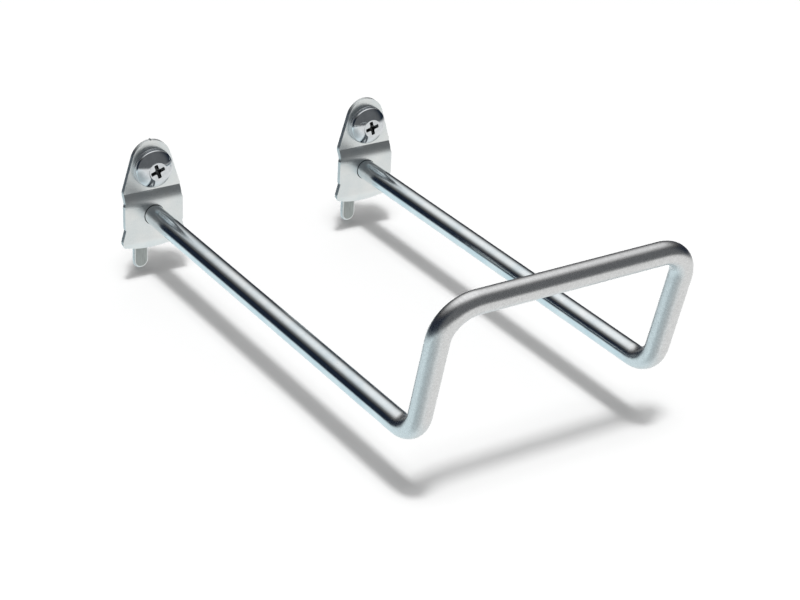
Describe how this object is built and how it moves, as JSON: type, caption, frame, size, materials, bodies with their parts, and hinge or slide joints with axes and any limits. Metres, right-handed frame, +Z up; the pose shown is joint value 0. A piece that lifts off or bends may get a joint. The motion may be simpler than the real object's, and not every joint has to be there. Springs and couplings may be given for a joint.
{
  "type": "peg board hook",
  "caption": "Closed-loop peg board hook: a round rod bent into a loop with an upturned end, staked into stamped back plates with tongues and truss-head screws.",
  "frame": {"origin": "on the board's front face, midway between the two upper peg holes that the screws enter", "axes": "+Z up, -Y out of the board along the rods, +X to the right seen from the front"},
  "size_m": [0.0972, 0.1689, 0.0658],
  "materials": {
    "rod_zinc": "bright zinc plating on drawn round rod, glossy",
    "plate_zinc": "bright zinc plating on stamped sheet, satin",
    "washer_zinc": "bright zinc plating, satin",
    "screw_zinc": "bright zinc plating, mirror-like on the head"
  },
  "bodies": {
    "hook": {"rod_loop": "rod_zinc", "left_plate": "plate_zinc", "right_plate": "plate_zinc"},
    "left_washer": {"left_washer": "washer_zinc"},
    "left_screw": {"left_screw": "screw_zinc"},
    "right_washer": {"right_washer": "washer_zinc"},
    "right_screw": {"right_screw": "screw_zinc"}
  },
  "joints": [
    {"name": "left_washer_slide", "type": "slide", "parent": "hook", "child": "left_washer", "axis": [0, -1, 0], "range_m": [0, 0.00726]},
    {"name": "left_screw_turn", "type": "hinge", "parent": "left_washer", "child": "left_screw", "pos_m": [-0.0381, 0, 0], "axis": [0, -1, 0], "range_deg": [0, 1440]},
    {"name": "right_washer_slide", "type": "slide", "parent": "hook", "child": "right_washer", "axis": [0, -1, 0], "range_m": [0, 0.00726]},
    {"name": "right_screw_turn", "type": "hinge", "parent": "right_washer", "child": "right_screw", "pos_m": [0.0381, 0, 0], "axis": [0, -1, 0], "range_deg": [0, 1440]}
  ],
  "couplings": [
    {"joint": "left_washer_slide", "follows": "left_screw_turn", "m_per_rad": 0.00028875},
    {"joint": "right_washer_slide", "follows": "right_screw_turn", "m_per_rad": 0.00028875}
  ]
}
